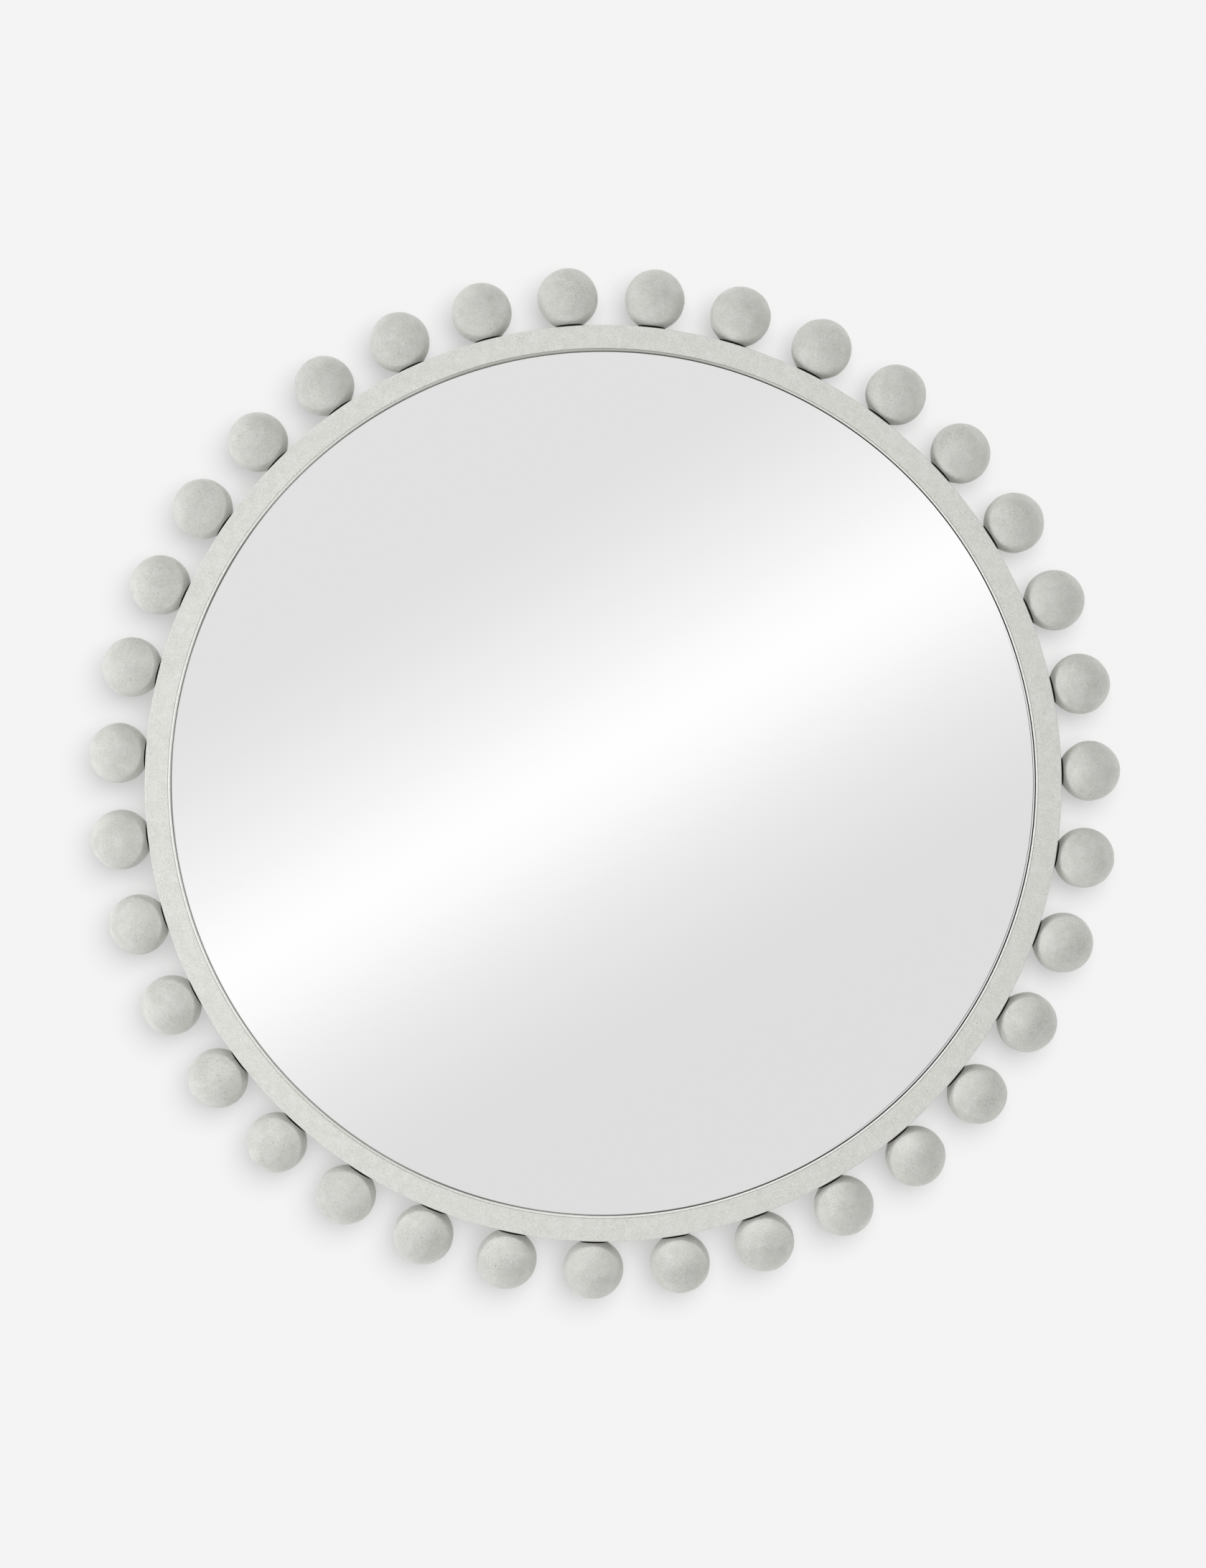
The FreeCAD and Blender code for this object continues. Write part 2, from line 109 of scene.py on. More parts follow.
camera_data = bpy.data.cameras.new("camera")
camera_data.sensor_width = SENSOR
camera_data.lens = FOCAL_PIXELS / PICTURE_HEIGHT * SENSOR
camera = bpy.data.objects.new("camera", camera_data)
camera.location = CAMERA_PLACE
camera.rotation_euler = (math.radians(90 - DEGREES_DOWN), 0, math.radians(DEGREES_LEFT))
scene.collection.objects.link(camera)
scene.camera = camera
scene.view_settings.view_transform = "Standard"
print("Lens", round(camera_data.lens, 2), "mm, standing", round(-camera.location.y, 2), "m away")

# %% [markdown]
# ## Wall
#
# The mirror hangs a few millimetres off a plain pale wall that shows only a soft shadow. A real
# wall is lit by the same lamps as the object, but here it has to stay one even tone, so half of
# its brightness is its own. The rest comes from a strong lamp that shines on nothing else, and
# that half carries the shadow. The wall's own colour is dark, or else the room's light, which
# comes from everywhere, would draw a second shadow all round. The wall is clear from behind and
# to other lamps' shadow rays, so the mirror's back can be seen and lit from there.

# %% Build the wall
WALL_TOTAL = 0.905
WALL_COLOR = 0.08
WALL_LAMP = 5.0
AMBIENT = 0.79
WALL_OWN = WALL_TOTAL - WALL_COLOR * (WALL_LAMP + AMBIENT)
WALL_REACH = 4.0
WALL_GAP = 3.2 * MM

wall_mesh = bpy.data.meshes.new("wall")
wall_place = band_high.y + WALL_GAP
wall_mesh.from_pydata([(WALL_REACH * x, wall_place, WALL_REACH * z)
                       for x, z in ((-1, -1), (1, -1), (1, 1), (-1, 1))], [], [(0, 1, 2, 3)])
wall = bpy.data.objects.new("wall", wall_mesh)
scene.collection.objects.link(wall)
wall.visible_diffuse = False

wall_paint = bpy.data.materials.new("wall_paint")
wall_paint.use_nodes = True
tree = wall_paint.node_tree
tree.nodes.clear()
own = tree.nodes.new("ShaderNodeEmission")
own.inputs["Color"].default_value = (1, 1, 1, 1)
own.inputs["Strength"].default_value = WALL_OWN
lit = tree.nodes.new("ShaderNodeBsdfDiffuse")
lit.inputs["Color"].default_value = (WALL_COLOR, WALL_COLOR, WALL_COLOR, 1)
front = tree.nodes.new("ShaderNodeAddShader")
clear = tree.nodes.new("ShaderNodeBsdfTransparent")
sides = tree.nodes.new("ShaderNodeNewGeometry")
path = tree.nodes.new("ShaderNodeLightPath")
either = tree.nodes.new("ShaderNodeMath")
either.operation = "MAXIMUM"
choose = tree.nodes.new("ShaderNodeMixShader")
output = tree.nodes.new("ShaderNodeOutputMaterial")
for source, target in (
    (own.outputs[0], front.inputs[0]),
    (lit.outputs[0], front.inputs[1]),
    (sides.outputs["Backfacing"], either.inputs[0]),
    (path.outputs["Is Shadow Ray"], either.inputs[1]),
    (either.outputs[0], choose.inputs[0]),
    (front.outputs[0], choose.inputs[1]),
    (clear.outputs[0], choose.inputs[2]),
    (choose.outputs[0], output.inputs["Surface"]),
):
    tree.links.new(source, target)
wall_mesh.materials.append(wall_paint)
print("The wall stands", round(1000 * wall_place, 1), "mm behind the frame's back edge")

# %% [markdown]
# ## The room that the glass reflects
#
# A mirror's look is the room in front of it. This one shows a bright streak that runs up from
# lower left to upper right and fades into even grey on both sides, as from a long window. The
# world gives it only to reflected rays: a ray's direction is turned into two slopes, which are
# mixed into one distance across the streak, and a ramp gives each distance its tone. Rays that
# go straight from the camera past the wall see the wall's tone. Rays that gather light on matt
# surfaces see a grey that grows towards the wall, which is pale and throws light back.

# %% Fill the room
STREAK_TILT = math.radians(120)
STREAK_PIXELS = 450
STREAK_REACH = STREAK_PIXELS / FOCAL_PIXELS
GLASS_TINT = 0.93

# The streak's tones, each at its distance in the picture's pixels from the streak's middle
STREAK_TONES = [(-370, 222), (-290, 224), (-220, 228), (-140, 235.5), (-75, 245), (-20, 252),
                (35, 255), (90, 251), (150, 243.5), (220, 237.5), (300, 229), (370, 225.5)]


def linear(tone):
    """A tone from 0 to 255 as the amount of light that it stands for."""
    share = tone / 255
    return share / 12.92 if share <= 0.04045 else ((share + 0.055) / 1.055) ** 2.4


def feed(tree, socket, value):
    """Set a socket to a number or a colour, or link it to another node's output."""
    if isinstance(value, (int, float, tuple)):
        socket.default_value = value
    else:
        tree.links.new(value, socket)


def math_node(tree, operation, first, second=0.0):
    """One sum on a node, whose inputs are numbers or other nodes' outputs."""
    node = tree.nodes.new("ShaderNodeMath")
    node.operation = operation
    feed(tree, node.inputs[0], first)
    feed(tree, node.inputs[1], second)
    return node.outputs[0]


world = bpy.data.worlds.new("room")
scene.world = world
world.use_nodes = True
tree = world.node_tree
tree.nodes.clear()
direction = tree.nodes.new("ShaderNodeTexCoord")
split = tree.nodes.new("ShaderNodeSeparateXYZ")
tree.links.new(direction.outputs["Generated"], split.inputs[0])
ahead = math_node(tree, "MAXIMUM", math_node(tree, "MULTIPLY", split.outputs["Y"], -1.0), 0.001)
across = math_node(tree, "DIVIDE", split.outputs["X"], ahead)
along = math_node(tree, "DIVIDE", split.outputs["Z"], ahead)

# Slopes are counted from the one at which the glass's centre is seen, and one unit of slope
# covers FOCAL_PIXELS pixels
depth = -camera.location.y - GLASS_FRONT
across = math_node(tree, "ADD", across, camera.location.x / depth)
along = math_node(tree, "ADD", along, (camera.location.z - CENTRE[2]) / depth)
distance = math_node(tree, "ADD", math_node(tree, "MULTIPLY", across, math.cos(STREAK_TILT)),
                     math_node(tree, "MULTIPLY", along, math.sin(STREAK_TILT)))
spread = tree.nodes.new("ShaderNodeMapRange")
spread.inputs["From Min"].default_value = -STREAK_REACH
spread.inputs["From Max"].default_value = STREAK_REACH
tree.links.new(distance, spread.inputs["Value"])
streak = tree.nodes.new("ShaderNodeValToRGB")
streak.color_ramp.interpolation = "B_SPLINE"
tree.links.new(spread.outputs[0], streak.inputs[0])
ramp = streak.color_ramp.elements
while len(ramp) < len(STREAK_TONES):
    ramp.new(0.5)
for element, (pixels, tone) in zip(ramp, STREAK_TONES):
    element.position = (pixels + STREAK_PIXELS) / (2 * STREAK_PIXELS)
    element.color = (linear(tone),) * 3 + (1,)

path = tree.nodes.new("ShaderNodeLightPath")


def light_of(color, strength):
    """Light of the world in one colour and strength, each fixed or another node's output."""
    node = tree.nodes.new("ShaderNodeBackground")
    feed(tree, node.inputs["Color"], color)
    feed(tree, node.inputs["Strength"], strength)
    return node.outputs[0]


def choose_light(test, otherwise, chosen):
    """The chosen light for the rays that pass the test, and the other one for the rest."""
    node = tree.nodes.new("ShaderNodeMixShader")
    for source, target in zip((test, otherwise, chosen), node.inputs):
        tree.links.new(source, target)
    return node.outputs[0]


# Even light and a part that grows towards the wall. Over the rays that a surface facing the
# camera gathers, the growing part comes to minus two thirds of TO_WALL, so AMBIENT is left
TO_WALL = 0.448
grown = math_node(tree, "MULTIPLY", split.outputs["Y"], TO_WALL)
even = AMBIENT + TO_WALL * 2 / 3
matt = light_of((1.0, 0.995, 0.98, 1), math_node(tree, "ADD", grown, even))
seen = light_of((1, 1, 1, 1), WALL_TOTAL)
mirrored = light_of(streak.outputs[0], 1 / GLASS_TINT)
result = choose_light(path.outputs["Is Glossy Ray"], matt, mirrored)
result = choose_light(path.outputs["Is Camera Ray"], result, seen)
output = tree.nodes.new("ShaderNodeOutputWorld")
tree.links.new(result, output.inputs["Surface"])
print("The streak is", 2 * STREAK_PIXELS, "pixels across with", len(STREAK_TONES), "tones")

# %% [markdown]
# ## Lamps
#
# Most of the light is the room's, from all sides, so the balls look flat. Two small lamps on the
# left make the left of the face brighter than the right, and a weak one on the right answers
# them. Two soft ones, high and low, round the picture off. A lamp behind shows the back to a
# camera that goes there. The wall has a lamp of its own, as said above: a very broad one, high
# on the right, whose shadow falls to the lower left with a soft edge. Light linking keeps each
# lamp to its receivers. The balls get more lamps of their own once they are made.

# %% Hang the lamps
wall_alone = bpy.data.collections.new("wall_alone")
wall_alone.objects.link(wall)
all_but_wall = bpy.data.collections.new("all_but_wall")
all_but_wall.objects.link(wall)
all_but_wall.collection_objects[0].light_linking.link_state = "EXCLUDE"


def hang_lamp(name, kind, place, watts, size, color, receivers):
    """A lamp that points at the mirror's centre and shows in no camera and no reflection.

    Its place is counted from that centre. Its size is a width in metres, or an angle for a sun.
    """
    data = bpy.data.lights.new(name, kind)
    data.energy = watts
    data.color = color
    if kind == "AREA":
        data.shape = "DISK"
        data.size = size
    else:
        data.angle = size
    lamp = bpy.data.objects.new(name, data)
    aim = np.array(place, float)
    lamp.location = tuple(CENTRE + aim)
    lamp.rotation_euler = (math.acos(aim[2] / np.linalg.norm(aim)), 0,
                           math.atan2(aim[0], -aim[1]))
    lamp.visible_camera = False
    lamp.visible_glossy = False
    lamp.light_linking.receiver_collection = receivers
    scene.collection.objects.link(lamp)
    return lamp


SIDE_REACH = 4.1
SIDE_FORWARD = 1.07
SMALL_LAMP = 0.06
WALL_AIM = (0.95, -4.0, 0.95)
COOL = (0.99, 0.995, 1.0)
NEUTRAL = (1.0, 1.0, 1.0)
wall_cosine = -WALL_AIM[1] / np.linalg.norm(WALL_AIM)
lamps = [
    hang_lamp("side_left", "AREA", (-SIDE_REACH, -SIDE_FORWARD, 0.3), 16, SMALL_LAMP, COOL,
              all_but_wall),
    hang_lamp("front_left", "AREA", (-2.05, -1.45, -0.35), 18.8, 2 * SMALL_LAMP, COOL,
              all_but_wall),
    hang_lamp("side_right", "AREA", (SIDE_REACH, -SIDE_FORWARD, 0.1), 6, SMALL_LAMP, NEUTRAL,
              all_but_wall),
    hang_lamp("top_soft", "AREA", (-0.3, -1.4, 2.9), 13.6, 2.0, NEUTRAL, all_but_wall),
    hang_lamp("low_soft", "AREA", (-0.1, -1.5, -1.9), 3.5, 1.2, NEUTRAL, all_but_wall),
    hang_lamp("rear_soft", "AREA", (0.3, 3.0, 0.8), 30, 1.6, NEUTRAL, all_but_wall),
    hang_lamp("wall_soft", "SUN", WALL_AIM, WALL_LAMP * math.pi / wall_cosine, math.radians(54),
              NEUTRAL, wall_alone),
]
print("Hung", len(lamps), "lamps")

# %% [markdown]
# ## Surfaces from formulas
#
# All the new skins are made in one way. A grid of points is worked out at once from two
# parameters: one goes round an axis and always closes on itself, the other goes along a
# section. Neighbouring points are joined by four-cornered faces. A skin of revolution with two
# poles gets a point and a fan of triangles at each of them. The sign of the enclosed volume
# tells whether the faces look outwards, and if they don't, they are all turned over.

# %% Helpers that turn grids of points into pieces
def joined_faces(rows, columns, closed):
    """Corners of the faces between a grid's rows; the last row meets the first if closed."""
    row = np.arange(rows if closed else rows - 1)[:, None]
    column = np.arange(columns)[None, :]
    after = (row + 1) % rows
    beside = (column + 1) % columns
    corners = np.broadcast_arrays(row * columns + column, row * columns + beside,
                                  after * columns + beside, after * columns + column)
    return np.stack(corners, axis=-1).reshape(-1, 4)


def fan_faces(row, columns, pole, flipped):
    """Triangles between one row of a grid and the point that closes it."""
    here = row * columns + np.arange(columns)
    beside = row * columns + (np.arange(columns) + 1) % columns
    tip = np.full(columns, pole)
    return np.stack((beside, here, tip) if flipped else (here, beside, tip), axis=-1)


def enclosed_volume(points, triangles):
    """A sixth of the sum of each triangle's corner, dotted with the cross of the other two."""
    a, b, c = (points[triangles[:, index]] for index in range(3))
    return np.einsum("ij,ij->i", a, np.cross(b, c)).sum() / 6


def make_skin(name, points, quads, triangles, stands_for, marks=None):
    """Put the points and faces into a mesh, facing outwards, and let it ride on the frame."""
    middle = points.mean(axis=0)
    halves = np.concatenate([quads[:, [0, 1, 2]], quads[:, [0, 2, 3]], triangles])
    if enclosed_volume(points - middle, halves) < 0:
        quads = quads[:, ::-1]
        triangles = triangles[:, ::-1]
    mesh = bpy.data.meshes.new(name)
    mesh.vertices.add(len(points))
    mesh.vertices.foreach_set("co", points.astype(np.float32).ravel())
    corners = np.concatenate([quads.ravel(), triangles.ravel()])
    sizes = np.concatenate([np.full(len(quads), 4), np.full(len(triangles), 3)])
    mesh.loops.add(len(corners))
    mesh.loops.foreach_set("vertex_index", corners.astype(np.int32))
    mesh.polygons.add(len(sizes))
    mesh.polygons.foreach_set("loop_start", (np.cumsum(sizes) - sizes).astype(np.int32))
    mesh.update(calc_edges=True)
    mesh.shade_smooth()
    for mark, values in (marks or {}).items():
        layer = mesh.attributes.new(mark, "FLOAT", "POINT")
        layer.data.foreach_set("value", values.astype(np.float32).ravel())
    piece = bpy.data.objects.new(name, mesh)
    scene.collection.objects.link(piece)
    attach(piece, "frame")
    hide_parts(*stands_for)
    return piece


NO_TRIANGLES = np.zeros((0, 3), int)
print("Helpers ready")

# %% [markdown]
# ## Hoops and the flat face
#
# The face, the outer hoop and the fine bead are rings about one axis, so each is a section
# carried round a circle. The photograph shows thin bright and dark lines where their edges are
# eased, so a section's corners are true arcs, with a closer point on each side of an arc to keep
# the flats flat under smooth shading. Steel that is rolled by hand is never quite round, so all
# three share one slow waver of about a tenth of a millimetre and stay in touch.

# %% Carry a section round the mirror's axis
TURN = 2 * math.pi
ARC_STEPS = 7
SUPPORT = 0.12 * MM
FINE_COLUMNS = 900
BAND_COLUMNS = 720


def eased_section(corners, easings, runs):
    """Points along a closed section with its corners eased.

    At each corner the arc's centre lies on the bisector of the two sides, at the easing over the
    sine of half their angle. The arc's points come from turning the first radius into the second
    in even steps. The straight run after each corner is cut into its own number of parts.
    """
    corners = np.array(corners, float)
    starts, arcs, ends = [], [], []
    for corner, before, after, easing in zip(corners, np.roll(corners, 1, axis=0),
                                             np.roll(corners, -1, axis=0), easings):
        back = (before - corner) / np.linalg.norm(before - corner)
        ahead = (after - corner) / np.linalg.norm(after - corner)
        half = math.acos(float(np.clip(back @ ahead, -1, 1))) / 2
        bisector = (back + ahead) / np.linalg.norm(back + ahead)
        middle = corner + bisector * easing / math.sin(half)
        first = corner + back * easing / math.tan(half) - middle
        last = corner + ahead * easing / math.tan(half) - middle
        sweep = math.acos(float(np.clip(first @ last / easing ** 2, -1, 1)))
        step = np.linspace(0, sweep, ARC_STEPS)[:, None]
        arcs.append(middle + (first * np.sin(sweep - step) + last * np.sin(step)) / math.sin(sweep))
        starts.append(arcs[-1][0])
        ends.append(arcs[-1][-1])
    points = []
    for index, parts in enumerate(runs):
        start, end = ends[index], starts[(index + 1) % len(starts)]
        length = np.linalg.norm(end - start)
        near = min(SUPPORT / length, 0.3)
        share = np.concatenate([[near], np.linspace(near, 1 - near, parts + 1)[1:-1], [1 - near]])
        points += [arcs[index], start + (end - start) * share[:, None]]
    return np.concatenate(points)


def hoop_waver(angle):
    """How far the hoops leave a true circle, as three slow waves round the turn."""
    return (0.06 * np.cos(2 * angle + 0.7) + 0.04 * np.cos(5 * angle + 2.1)
            + 0.025 * np.cos(11 * angle + 4.0)) * MM


def about_centre(radius, height, angle):
    """Points at centre + radius * (cos, 0, sin) + height * forward."""
    outward = np.stack([np.cos(angle), 0 * angle, np.sin(angle)], -1)
    return CENTRE + radius[..., None] * outward + height[..., None] * FORWARD


def carry_round(name, section, turns, stands_for, marks=None):
    """Carry a section's radius and height round the axis, each with some of the waver in it."""
    angle = np.linspace(0, TURN, turns, endpoint=False)
    radius = section[:, :1] + hoop_waver(angle)[None, :]
    height = np.broadcast_to(section[:, 1:], radius.shape) + 0.5 * hoop_waver(angle + 1.3)
    points = about_centre(radius, height, angle)
    quads = joined_faces(len(section), turns, closed=True)
    values = {mark: rule(section, angle) for mark, rule in (marks or {}).items()}
    return make_skin(name, points.reshape(-1, 3), quads, NO_TRIANGLES, stands_for,
                     values)


face_section = eased_section(
    [(SIGHT_OUTSIDE, FACE_BACK), (BAND_OUTSIDE, FACE_BACK), (BAND_OUTSIDE, FACE_FRONT),
     (SIGHT_OUTSIDE, FACE_FRONT)],
    [0.1 * MM, 0.1 * MM, 1.0 * MM, 1.4 * MM], [6, 2, 10, 2])
face_skin = carry_round("face_skin", face_section, FINE_COLUMNS, ["face_ring"])

band_section = eased_section(
    [(BAND_INSIDE, 0), (BAND_OUTSIDE, 0), (BAND_OUTSIDE, FACE_BACK), (BAND_INSIDE, FACE_BACK)],
    [0.4 * MM, 0.4 * MM, 0.1 * MM, 0.1 * MM], [2, 10, 2, 10])
band_skin = carry_round("band_skin", band_section, BAND_COLUMNS, ["outer_band"])

sight_section = eased_section(
    [(SIGHT_INSIDE, SIGHT_BACK), (SIGHT_OUTSIDE, SIGHT_BACK), (SIGHT_OUTSIDE, SIGHT_FRONT),
     (SIGHT_INSIDE, SIGHT_FRONT)],
    [0.2 * MM, 0.2 * MM, 0.9 * MM, 0.9 * MM], [2, 3, 1, 9])


def degrees_from(angle, middle):
    """How many degrees each angle lies from the middle one, at most half a turn."""
    return np.abs((np.degrees(angle) - middle + 180) % 360 - 180)


def painted_hoop_shade(section, angle):
    """How much painted shade darkens the fine hoop, from 0 to 1, round the turn.

    It is darkest at the top, dark below left, and a little dark over the rest of the upper half.
    Each place is a bell exp(-(turn away / width)^2) about its own angle.
    """
    shade_share = np.zeros_like(angle)
    for middle, width, share in ((92, 22, 1.0), (100, 55, 0.45), (235, 22, 0.42), (285, 45, 0.12)):
        shade_share = shade_share + share * np.exp(-(degrees_from(angle, middle) / width) ** 2)
    return np.broadcast_to(np.clip(shade_share, 0, 1), (len(section), len(angle))).ravel()


def painted_wall_shade(section, angle):
    """How black painted shade makes the wall between the hoop's crest and the glass, from 0 to 1.

    The wall is the section's straight inner side, from a millimetre under the crest down. The
    shade is black all over the right half and fades out past the top and the bottom, and a few
    short stretches of it are dark on the left.
    """
    radius, height = section[:, :1], section[:, 1:]
    on_wall = np.clip((SIGHT_FRONT - 1.1 * MM - height) / (0.5 * MM), 0, 1)
    on_wall = on_wall * (radius < SIGHT_INSIDE + 0.25 * MM)
    right = np.exp(-(degrees_from(angle, 0) / 88) ** 6)
    stretches = 0.5 * np.clip(np.cos(7 * angle + 0.4) * np.cos(4 * angle + 2.0), 0, 1)
    return (on_wall * np.clip(0.12 + 0.88 * right + stretches * (1 - right), 0, 1)).ravel()


sight_skin = carry_round("sight_skin", sight_section, FINE_COLUMNS, ["sight_band"],
                         {"painted_hoop_shade": painted_hoop_shade, "painted_wall_shade": painted_wall_shade})
for hoop in (face_skin, band_skin, sight_skin):
    print(hoop.name, "has", len(hoop.data.polygons), "faces")

# %% [markdown]
# ## Foam tape before the glass
#
# On the right a black line runs between the bead and the glass: the hoop's inner wall is painted
# black there as shade, and the foam tape was laid past the hoop. On the left it hardly shows, but
# for a few short stretches. So the tape's inner edge wanders: it stands past the hoop by a wide
# share round the right side, plus small waves.

# %% Lay the tape
TAPE_EDGE = 472 * MM
TAPE_SHOWS = 0.6 * MM


def tape_shows(angle):
    """How far the tape stands past the hoop, for an angle from the right towards the top."""
    right = np.exp(-((np.cos(angle - 0.1) - 1) / 0.55) ** 2)
    waves = (np.cos(3 * angle + 0.6) * np.cos(5 * angle + 2.0) + 0.5 * np.cos(17 * angle)) / 1.5
    return TAPE_SHOWS * (0.16 + 0.84 * right) + 0.12 * MM * np.clip(waves, -0.6, 1)


TAPE_COLUMNS = 1440
TAPE_SOFT = 0.15 * MM
tape_turn = np.linspace(0, TURN, TAPE_COLUMNS, endpoint=False)
tape_inside = SIGHT_INSIDE + hoop_waver(tape_turn) - np.clip(tape_shows(tape_turn), 0, None)
tape_outside = np.full_like(tape_inside, TAPE_EDGE)
tape_radii = np.stack([tape_inside, tape_outside, tape_outside, tape_inside + TAPE_SOFT,
                       tape_inside])
tape_heights = np.array([GLASS_FRONT, GLASS_FRONT, SIGHT_BACK, SIGHT_BACK, SIGHT_BACK - TAPE_SOFT])
tape_points = about_centre(tape_radii, tape_heights[:, None], tape_turn)
tape_skin = make_skin("tape_skin", tape_points.reshape(-1, 3),
                      joined_faces(len(tape_heights), TAPE_COLUMNS, closed=True), NO_TRIANGLES,
                      ["glazing_tape"])
print("The tape shows by", round(1000 * float(tape_shows(tape_turn).min()), 2), "to",
      round(1000 * float(tape_shows(tape_turn).max()), 2), "mm")

# %% [markdown]
# ## Balls
#
# Each ball is two pressed cups welded into a hollow shell. On the side of the frame the sphere
# runs on into a short straight neck with a sharp edge and a flat, so a narrow black gap shows
# between the flat and the face's edge. A plain sphere would look machine-made. The photograph
# shows balls that are a little lumpy, each in its own way, and on some of them the seam's weld
# as a fine ridge round the middle. So the shell is a section turned about the ball's own axis,
# which points away from the mirror, with the ridge and the lumps added to its distance from
# the middle.

# %% Shape one ball about its own axis
BALL_COLUMNS = 96
SEAM_WIDTH = 0.55 * MM
INNER_RADIUS = BALL_RADIUS - BALL_WALL
NECK_RADIUS = math.sqrt(BALL_RADIUS ** 2 - BALL_SEAT ** 2) + NECK_SPREAD
MOUTH_RADIUS = math.sqrt(INNER_RADIUS ** 2 - BALL_SEAT ** 2)
LUMP_WAVES = 9
LUMP_HEIGHT = 0.16 * MM
LUMPS_FADE = 14 * MM


def ball_axes(number):
    """Two directions in the wall's plane: from the mirror's centre to a ball, and across that."""
    away = FIRST_BALL - number * TURN / BALLS
    return (np.array([math.cos(away), 0, math.sin(away)]),
            np.array([-math.sin(away), 0, math.cos(away)]))


def ball_section():
    """Points outside the shell, each by its place along the ball's axis and its distance from it.

    The sphere ends at the shoulder, where the neck's straight side leaves it as a tangent. Seen
    from the middle, the shoulder lies before the neck's edge by the angle whose cosine is the
    sphere's radius over the edge's distance. Points crowd at the seam and at the edge.
    """
    edge = np.array([-BALL_SEAT, NECK_RADIUS])
    shoulder = math.atan2(edge[1], edge[0]) - math.acos(BALL_RADIUS / np.linalg.norm(edge))
    even = np.linspace(0.035, shoulder, 60)
    seam = math.pi / 2 + np.linspace(-1, 1, 17) * 4 * SEAM_WIDTH / BALL_RADIUS
    apart = np.abs(even[:, None] - seam[None, :]).min(axis=1) > 0.012
    angle = np.sort(np.concatenate([even[apart], seam]))
    sphere = BALL_RADIUS * np.stack([np.cos(angle), np.sin(angle)], -1)
    length = np.linalg.norm(edge - sphere[-1])
    side = (edge - sphere[-1]) / length
    down = np.array([0.25, 0.5, 0.75])[:, None] * length
    turned = np.array([0.35, 0.18, 0.06])[:, None] * MM
    neck = np.concatenate([sphere[-1] + down * side, edge - turned * side])
    flat = edge - np.array([0.06, 0.18, 0.5, 1.5, 3.0])[:, None] * MM * [0, 1]
    return np.concatenate([sphere, neck, flat, [[-BALL_SEAT, MOUTH_RADIUS]]])


def lining_section():
    """Points inside the shell, on a sphere one wall smaller, from the mouth to the far pole."""
    angle = np.linspace(math.acos(-BALL_SEAT / INNER_RADIUS), 0.15, 14)[1:]
    return INNER_RADIUS * np.stack([np.cos(angle), np.sin(angle)], -1)


def lumps(direction, waves, phases, heights):
    """A sum of slow waves across the sphere of directions."""
    return (np.cos(direction @ waves.T + phases) * heights).sum(axis=-1)


def turned_about_axis(section, turn):
    """Carry section points round the ball's axis, onto (along, out cos t, out sin t)."""
    along = np.broadcast_to(section[:, :1], (len(section), len(turn)))
    return np.stack([along, section[:, 1:] * np.cos(turn), section[:, 1:] * np.sin(turn)], -1)


def ball_points(number, seam_height):
    """The shell's grid and its two poles, and a mark on the flat for painted shade in the gap.

    A point outside is moved along the line from the ball's middle by the lumps and by the ridge
    exp(-(x / width)^2), where x is the distance from the seam's plane. The lumps die away
    towards the neck.
    """
    axis, aside = ball_axes(number)
    middle = CENTRE + BALL_CIRCLE * axis + BALL_HEIGHT * FORWARD
    turn = np.linspace(0, TURN, BALL_COLUMNS, endpoint=False)
    waves = rng.normal(size=(LUMP_WAVES, 3)) * np.linspace(1.6, 6.5, LUMP_WAVES)[:, None]
    phases = rng.uniform(0, TURN, LUMP_WAVES)
    heights = LUMP_HEIGHT / np.linspace(1, 3.2, LUMP_WAVES)

    section = ball_section()
    skin = turned_about_axis(section, turn)
    distance = np.linalg.norm(skin, axis=-1, keepdims=True)
    calm = np.clip((section[:, :1] + BALL_SEAT) / LUMPS_FADE, 0, 1)
    offset = lumps(skin / distance, waves, phases, heights) * calm
    across_seam = section[:, :1] / SEAM_WIDTH
    patchy = 0.65 + 0.35 * np.cos(3 * turn + phases[0]) * np.cos(7 * turn + phases[1])
    ridge = seam_height * patchy * (np.exp(-across_seam ** 2)
                                    - 0.6 * np.exp(-((across_seam - 1.9) / 1.1) ** 2))
    skin = skin * (1 + (offset + ridge)[..., None] / distance)

    grid = np.concatenate([skin, turned_about_axis(lining_section(), turn)])
    poles = np.array([[BALL_RADIUS + float(offset[0].mean()), 0, 0], [INNER_RADIUS, 0, 0]])
    local = np.concatenate([grid.reshape(-1, 3), poles])
    placed = middle + local[:, :1] * axis + local[:, 1:2] * aside + local[:, 2:] * FORWARD
    # The flat inside the neck's edge carries the mark for painted shade in the gap
    level = local[:, 0] < -BALL_SEAT + 0.01 * MM
    inside_edge = np.hypot(local[:, 1], local[:, 2]) < NECK_RADIUS - 0.1 * MM
    return placed, len(grid), level & inside_edge


# Seams that the photograph shows, as shares of the ridge's full height; the rest are faint
SEAM_RIDGE = 0.42 * MM
FAINT_SEAM_SHARE = 0.18
clear_seam_share = {15: 0.6, 16: 0.8, 23: 0.5, 24: 0.8, 25: 0.5, 27: 0.5, 28: 1.0, 29: 0.8,
                    30: 0.9, 31: 0.7}
ball_skins = []
for number in range(BALLS):
    share = clear_seam_share.get(number + 1, FAINT_SEAM_SHARE)
    points, rows, mark = ball_points(number, share * SEAM_RIDGE)
    quads = joined_faces(rows, BALL_COLUMNS, closed=False)
    pole = rows * BALL_COLUMNS
    triangles = np.concatenate([fan_faces(0, BALL_COLUMNS, pole, True),
                                fan_faces(rows - 1, BALL_COLUMNS, pole + 1, False)])
    ball_skins.append(make_skin(f"ball_skin_{number + 1:02d}", points, quads, triangles,
                                [f"ball_{number + 1:02d}"], {"painted_gap_shade": mark}))
